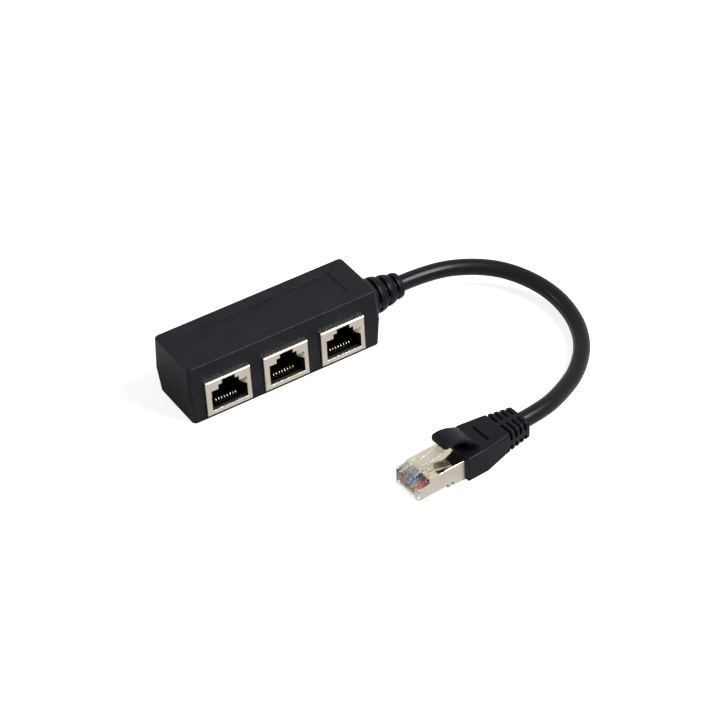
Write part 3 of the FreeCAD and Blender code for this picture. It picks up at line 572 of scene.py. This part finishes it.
def reliefTree(sizes, material):
    tree, nodes, links, given = newTree("reliefRule", sizes)
    size = given.outputs

    def sum2(a, b):
        return maths(nodes, links, "ADD", a, b)

    def minus(a, b):
        return maths(nodes, links, "SUBTRACT", a, b)

    def times(a, b):
        return maths(nodes, links, "MULTIPLY", a, b)

    def over(a, b):
        return maths(nodes, links, "DIVIDE", a, b)

    def fade(value, middle, softness):
        # 0 below the middle and 1 above it, with a soft step
        node = nodes.new("ShaderNodeMapRange")
        node.interpolation_type = "SMOOTHSTEP"
        links.new(value, node.inputs["Value"])
        links.new(minus(middle, softness), node.inputs["From Min"])
        links.new(sum2(middle, softness), node.inputs["From Max"])
        return node.outputs["Result"]

    sheet = nodes.new("GeometryNodeMeshGrid")
    sheet.inputs["Size X"].default_value = 1.0
    sheet.inputs["Size Y"].default_value = 1.0
    sheet.inputs["Vertices X"].default_value = strainRelief["rows"]
    sheet.inputs["Vertices Y"].default_value = strainRelief["around"]
    place = nodes.new("ShaderNodeSeparateXYZ")
    links.new(nodes.new("GeometryNodeInputPosition").outputs[0], place.inputs[0])
    cap = size["Tip Round"]
    reach = sum2(size["Length"], times(cap, 2.0))
    run = minus(times(sum2(place.outputs["X"], 0.5), reach), cap)
    along = maths(nodes, links, "MINIMUM", maths(nodes, links, "MAXIMUM", run, 0.0), size["Length"])
    angle = times(place.outputs["Y"], 2 * math.pi)
    taper = times(over(along, size["Length"]), minus(size["Tip Radius"], size["Root Radius"]))
    cone = sum2(size["Root Radius"], taper)
    turns = over(minus(along, size["First Slot"]), size["Slot Pitch"])
    onOrAfterFirst = maths(nodes, links, "MAXIMUM", maths(nodes, links, "ROUND", turns), 0.0)
    nearest = maths(nodes, links, "MINIMUM", onOrAfterFirst, strainRelief["slots"] - 1)
    fromSlot = maths(nodes, links, "ABSOLUTE", times(minus(turns, nearest), size["Slot Pitch"]))
    ribPhase = maths(nodes, links, "MINIMUM", over(fromSlot, times(size["Slot Pitch"], 0.5)), 1.0)
    dome = minus(1.0, times(minus(1.0, ribPhase), minus(1.0, ribPhase)))
    ribbed = sum2(cone, times(size["Rib Bulge"], minus(dome, 0.5)))
    inSlot = minus(1.0, fade(fromSlot, size["Slot Half Width"], size["Edge Round"]))
    height = times(cone, maths(nodes, links, "COSINE", angle))
    offSpine = fade(maths(nodes, links, "ABSOLUTE", height), size["Spine Half Width"], size["Edge Round"])
    cut = times(times(inSlot, offSpine), size["Slot Depth"])
    pastTip = maths(nodes, links, "MAXIMUM", minus(run, minus(size["Length"], size["Tip Round"])), 0.0)
    tipShare = maths(nodes, links, "MINIMUM", over(pastTip, size["Tip Round"]), 1.0)
    tipArc = maths(nodes, links, "SQRT", minus(1.0, times(tipShare, tipShare)))
    tipDrop = times(size["Tip Round"], minus(1.0, tipArc))
    beyond = maths(nodes, links, "MAXIMUM", minus(run, size["Length"]), 0.0)
    before = maths(nodes, links, "MAXIMUM", times(run, -1.0), 0.0)
    closing = minus(1.0, over(sum2(beyond, before), cap))
    radius = times(minus(minus(ribbed, cut), tipDrop), maths(nodes, links, "MAXIMUM", closing, 0.0))
    spot = nodes.new("ShaderNodeCombineXYZ")
    links.new(sum2(along, size["Start"]), spot.inputs["X"])
    links.new(sum2(times(radius, maths(nodes, links, "SINE", angle)), size["Across"]), spot.inputs["Y"])
    links.new(sum2(times(radius, maths(nodes, links, "COSINE", angle)), size["Up"]), spot.inputs["Z"])
    shape = nodes.new("GeometryNodeSetPosition")
    links.new(sheet.outputs["Mesh"], shape.inputs["Geometry"])
    links.new(spot.outputs[0], shape.inputs["Position"])
    seam = nodes.new("GeometryNodeMergeByDistance")
    seam.inputs["Distance"].default_value = copying["merge"] * millimetre
    links.new(shape.outputs["Geometry"], seam.inputs["Geometry"])
    closeTree(tree, seam.outputs["Geometry"], material)
    return tree


def outwards(mesh):
    # Closes the seam and the two ends, and turns every face outwards
    work = bmesh.new()
    work.from_mesh(mesh)
    bmesh.ops.remove_doubles(work, verts=work.verts, dist=copying["merge"] * millimetre)
    bmesh.ops.recalc_face_normals(work, faces=work.faces)
    work.to_mesh(mesh)
    work.free()
    mesh.shade_smooth()


def makeStrainRelief():
    sizes = {name: value * millimetre for name, value in strainRelief.items() if isinstance(value, float)}
    sizes["Across"], sizes["Up"] = (value * millimetre for value in strainRelief["Axis"])
    tree = reliefTree(sizes, finishes["boot_vinyl"])
    mesh = grow(linkedHolder("reliefHolder", bpy.data.meshes.new("reliefSeed")), tree, sizes)
    outwards(mesh)
    mesh.set_sharp_from_angle(angle=math.radians(strainRelief["crease"]))
    return makePiece("strainRelief", mesh, "strain_relief")


makeStrainRelief()
print("strain relief made")


# Housing: two shells with small rounds on the edges that the mould leaves sharp

housing = {"edge": 0.13}         # the round

for half in ("upper", "lower"):
    softened(half + "Shell", half + "_shell", housing["edge"], wholeFaces=False)
print("housing made")


# Sockets: shield, black insert and eight spring contacts in each

sockets = {
    "middles": (-21.58, -0.58, 20.42),
    "face": -11.8,
    "base": 1.77,
    "shieldEdge": 0.07,
    "hemLow": 1.83,              # above the shield's underside
    "hemDepth": 1.05,            # behind its face
    "hemHalfLength": 6.3,
    "hemSheet": 0.18,
    "hemHeight": 0.38,
    "insertEdge": 0.1,
}

contacts = {
    "count": 8,
    "pitch": 1.02,
    "radius": 0.22,
    "bend": 0.5,
    "crest": (3.0, 2.75),        # depth behind the face and height above the shield's underside
    "end": (11.2, 6.9),
    "floor": 1.05,
    "pinRows": (13.13, 14.33),   # depths of the two rows of pins
    "pinTop": 15.5,
}


def makeContacts(number, middle):
    face, base = sockets["face"], sockets["base"]
    sizes = {
        "Count": contacts["count"] // 2,
        "Step": mm(2 * contacts["pitch"], 0, 0),
        "Bend": contacts["bend"] * millimetre,
        "Thickness": contacts["radius"] * millimetre,
    }
    tree = rowTree("contactRow", sizes, finishes["gold_contact"], wires=True)
    rows = []
    for row, pinDepth in enumerate(contacts["pinRows"]):
        x = middle + (row - (contacts["count"] - 1) / 2) * contacts["pitch"]
        crestDepth, crestHeight = contacts["crest"]
        path = [contacts["end"], (crestDepth, crestHeight), (crestDepth, contacts["floor"]),
                (pinDepth, contacts["floor"]), (pinDepth, contacts["pinTop"])]
        line = bentLine("contactLine", [mm(x, face + depth, base + height) for depth, height in path])
        rows.append(grow(line, tree, sizes))
    mesh = joined("socketContacts", rows, finishes["gold_contact"])
    makePiece("socketContacts%d" % number, mesh, "socket_contacts_%d" % number)


def makeHem(number, middle):
    # The sheet's own edge, turned up behind the bottom of the opening
    base = sockets["base"] + sockets["hemLow"]
    front = sockets["face"] + sockets["hemDepth"]
    half = sockets["hemHalfLength"]
    low = (middle - half, front, base)
    high = (middle + half, front + sockets["hemSheet"], base + sockets["hemHeight"])
    holder = linkedHolder("hemHolder", boxMesh("hem", [(low, high)], Matrix.Identity(4)))
    rounding = holder.modifiers.new("edges", "BEVEL")
    rounding.width = sockets["shieldEdge"] * millimetre
    rounding.segments = 2
    mesh = plainMesh(holder)
    mesh.materials.append(finishes["socket_nickel"])
    piece = linkedHolder("socketHem%d" % number, mesh)
    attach(piece, "root")


# The second and third sockets repeat the first one's shield and insert
firstShield = softened("socketShield1", "socket_shield_1", sockets["shieldEdge"])
firstInsert = softened("socketInsert1", "socket_insert_1", sockets["insertEdge"], wholeFaces=False)
for number, middle in enumerate(sockets["middles"], 1):
    makeHem(number, middle)
    makeContacts(number, middle)
    if number > 1:
        shift = mm(middle - sockets["middles"][0], 0, 0)
        movedCopy("socketShield%d" % number, firstShield, "socket_shield_%d" % number, shift)
        movedCopy("socketInsert%d" % number, firstInsert, "socket_insert_%d" % number, shift)
print("sockets made")


# Plug: clear body and latch, folded jacket, eight blades and the wires behind them

plug = {"bodyEdge": 0.12, "latchEdge": 0.10, "jacketEdge": 0.05}

blades = {
    "count": 8,
    "front": 0.35,
    "length": 4.9,
    "bottom": 0.3,
    "top": 2.45,
    "thickness": 0.34,
    "noseRadius": 0.6,
    "noseSteps": 6,
    "edge": 0.05,
    "pitch": 1.02,
}


def bladeSeed():
    # The first blade, drawn from the side and given its thickness
    front, bottom, nose = blades["front"], blades["bottom"], blades["noseRadius"]
    back = front + blades["length"]
    outline = [(back, bottom), (back, blades["top"]), (front, blades["top"])]
    for step in range(blades["noseSteps"] + 1):
        turn = math.radians(180 + 90 / blades["noseSteps"] * step)
        outline.append((front + nose + nose * math.cos(turn), bottom + nose + nose * math.sin(turn)))
    across = -(blades["count"] - 1) / 2 * blades["pitch"]
    half = blades["thickness"] / 2
    work = bmesh.new()
    flat = work.faces.new([work.verts.new(mm(u, across - half, w)) for u, w in outline])
    raised = bmesh.ops.extrude_face_region(work, geom=[flat])
    moved = [item for item in raised["geom"] if isinstance(item, bmesh.types.BMVert)]
    bmesh.ops.translate(work, verts=moved, vec=mm(0, 2 * half, 0))
    rim = [edge for edge in work.edges if edge.calc_face_angle(0) > math.radians(copying["crease"])]
    bmesh.ops.bevel(work, geom=rim, offset=blades["edge"] * millimetre, segments=2, affect="EDGES")
    bmesh.ops.recalc_face_normals(work, faces=work.faces)
    bmesh.ops.transform(work, matrix=plugMatrix, verts=work.verts)
    mesh = bpy.data.meshes.new("bladeSeed")
    work.to_mesh(mesh)
    work.free()
    return linkedHolder("bladeSeed", mesh)


def makeBlades():
    sizes = {"Count": blades["count"], "Step": plugTurn.to_3x3() @ mm(0, blades["pitch"], 0)}
    tree = rowTree("bladeRow", sizes, finishes["gold_contact"], wires=False)
    mesh = grow(bladeSeed(), tree, sizes)
    makePiece("plugBlades", joined("plugBlades", [mesh], finishes["gold_contact"]), "plug_contacts")


def makeWires(colour, paleIsLow):
    # Marks one wire of the pair as the pale one, by which lies lower across the plug
    node = "plug_wires_" + colour
    mesh = mergedCopy(node)
    work = bmesh.new()
    work.from_mesh(mesh)
    layer = work.verts.layers.float.new("pale")
    toPlug = plugMatrix.inverted()
    places = [(toPlug @ vert.co).y for vert in work.verts]
    groups = []
    left = set(work.verts)
    while left:
        found, waiting = set(), [left.pop()]
        while waiting:
            vert = waiting.pop()
            found.add(vert)
            for edge in vert.link_edges:
                other = edge.other_vert(vert)
                if other in left:
                    left.discard(other)
                    waiting.append(other)
        groups.append(found)
    groups.sort(key=lambda found: sum(places[vert.index] for vert in found) / len(found))
    for vert in groups[0 if paleIsLow else -1]:
        vert[layer] = 1.0
    work.to_mesh(mesh)
    work.free()
    mesh.shade_smooth()
    mesh.set_sharp_from_angle(angle=math.radians(copying["crease"]))
    makePiece("plugWires" + colour.capitalize(), mesh, node)


softened("plugBody", "plug_body", plug["bodyEdge"])
latchPiece = softened("plugLatch", "plug_latch", plug["latchEdge"], 3)
latchPiece.data.materials[0] = finishes["latch_plastic"]
softened("plugJacket", "plug_shield", plug["jacketEdge"])
makeBlades()
for colour in ("orange", "green", "blue", "brown"):
    makeWires(colour, paleIsLow=colour != "blue")    # the blue pair lies the other way round
print("plug made")


# Boot: one soft moulding with the guard over the latch

boot = {
    "grid": 0.17,
    "rounds": 3,                 # of smoothing
    "ribStart": 35.3,            # the first tail slot, along the plug from its nose
    "ribPitch": 2.05,
    "ribCount": 4,
    "slotHalfWidth": 0.5,
    "slotFloor": 6.62,           # how deep the tail slots go from the top
    "slotSpine": 0.8,            # half the spine that is left between them
    "slotReach": 5.2,            # past the boot's sides
    "slotTop": 9.0,              # past its roof
    "topSlot": ((27.42, -3.9, 6.9), (28.58, 3.9, 9.0)),
}


def bootSlots():
    boxes = [boot["topSlot"]]
    for count in range(boot["ribCount"]):
        place = boot["ribStart"] + count * boot["ribPitch"]
        near, far = place - boot["slotHalfWidth"], place + boot["slotHalfWidth"]
        for low, high in ((boot["slotSpine"], boot["slotReach"]), (-boot["slotReach"], -boot["slotSpine"])):
            boxes.append(((near, low, boot["slotFloor"]), (far, high, boot["slotTop"])))
    return linkedHolder("bootSlots", boxMesh("bootSlots", boxes, plugMatrix))


remeshed("bootMoulding", "boot", boot["grid"], boot["rounds"], bootSlots())
print("boot made")


# Stage and lamps

stage = {
    "floorSize": 3.0,            # metres
    "floorDrop": 0.02,           # millimetres below the part's underside
    "floorColour": 0.82,
    "floorSeen": 0.80,           # glow added for the camera
    "floorThrough": 1.0,         # glow added for what is seen through clear plastic
    "worldSeen": 1.0,
    "worldMirrored": 0.70,
    "worldFill": 0.15,
}


def makeFloor():
    mesh = bpy.data.meshes.new("studioFloor")
    half = stage["floorSize"] / 2
    corners = [(-half, -half, 0), (half, -half, 0), (half, half, 0), (-half, half, 0)]
    mesh.from_pydata(corners, [], [(0, 1, 2, 3)])
    floor = bpy.data.objects.new("studioFloor", mesh)
    floor.location.z = -stage["floorDrop"] * millimetre
    bpy.context.scene.collection.objects.link(floor)
    material, nodes, links, shader = newMaterial("studioFloor")
    shader.inputs["Base Color"].default_value = (*[stage["floorColour"]] * 3, 1)
    shader.inputs["Roughness"].default_value = 0.9
    shader.inputs["Specular IOR Level"].default_value = 0.0
    path = nodes.new("ShaderNodeLightPath").outputs
    seenGlow = maths(nodes, links, "MULTIPLY", path["Is Camera Ray"], stage["floorSeen"])
    throughGlow = maths(nodes, links, "MULTIPLY", path["Is Transmission Ray"], stage["floorThrough"])
    shader.inputs["Emission Color"].default_value = (1, 1, 1, 1)
    links.new(maths(nodes, links, "ADD", seenGlow, throughGlow), shader.inputs["Emission Strength"])
    mesh.materials.append(material)


def makeWorld():
    world = bpy.data.worlds.new("studioAir")
    bpy.context.scene.world = world
    world.use_nodes = True
    nodes, links = world.node_tree.nodes, world.node_tree.links
    back = nodes["Background"]
    path = nodes.new("ShaderNodeLightPath").outputs
    mirrored = maths(nodes, links, "MAXIMUM", path["Is Glossy Ray"], path["Is Transmission Ray"])
    mirrorGain = maths(nodes, links, "MULTIPLY", mirrored, stage["worldMirrored"] - stage["worldFill"])
    seenExtra = stage["worldSeen"] - stage["worldFill"]
    seenGain = maths(nodes, links, "MULTIPLY", path["Is Camera Ray"], seenExtra)
    gain = maths(nodes, links, "ADD", mirrorGain, seenGain)
    back.inputs["Color"].default_value = (1, 1, 1, 1)
    links.new(maths(nodes, links, "ADD", gain, stage["worldFill"]), back.inputs["Strength"])


# Lamps: place, aim and size in metres, power in watts

lamps = {
    "keySoftbox": {
        "place": (0.40, -0.36, 0.68),
        "aim": (0.03, -0.03, 0.0),
        "size": (0.24, 0.20),
        "power": 4.3,
    },
    "frontSoftbox": {
        "place": (0.28, -0.50, 0.50),
        "aim": (0.0, -0.02, 0.0),
        "size": (0.12, 0.08),
        "power": 2.1,
    },
    "noseSoftbox": {
        "place": (-0.44, 0.32, 0.27),
        "aim": (0.0, -0.075, 0.0),
        "size": (0.10, 0.08),
        "power": 0.35,
    },
}


def makeLamps():
    for name, lamp in lamps.items():
        light = bpy.data.lights.new(name, "AREA")
        light.shape = "RECTANGLE"
        light.size, light.size_y = lamp["size"]
        light.energy = lamp["power"]
        holder = bpy.data.objects.new(name, light)
        bpy.context.scene.collection.objects.link(holder)
        holder.location = lamp["place"]
        beam = Vector(lamp["aim"]) - Vector(lamp["place"])
        holder.rotation_euler = beam.to_track_quat("-Z", "Y").to_euler()


makeFloor()
makeWorld()
makeLamps()
bpy.context.scene.view_settings.view_transform = "Standard"
print("stage and lamps ready")
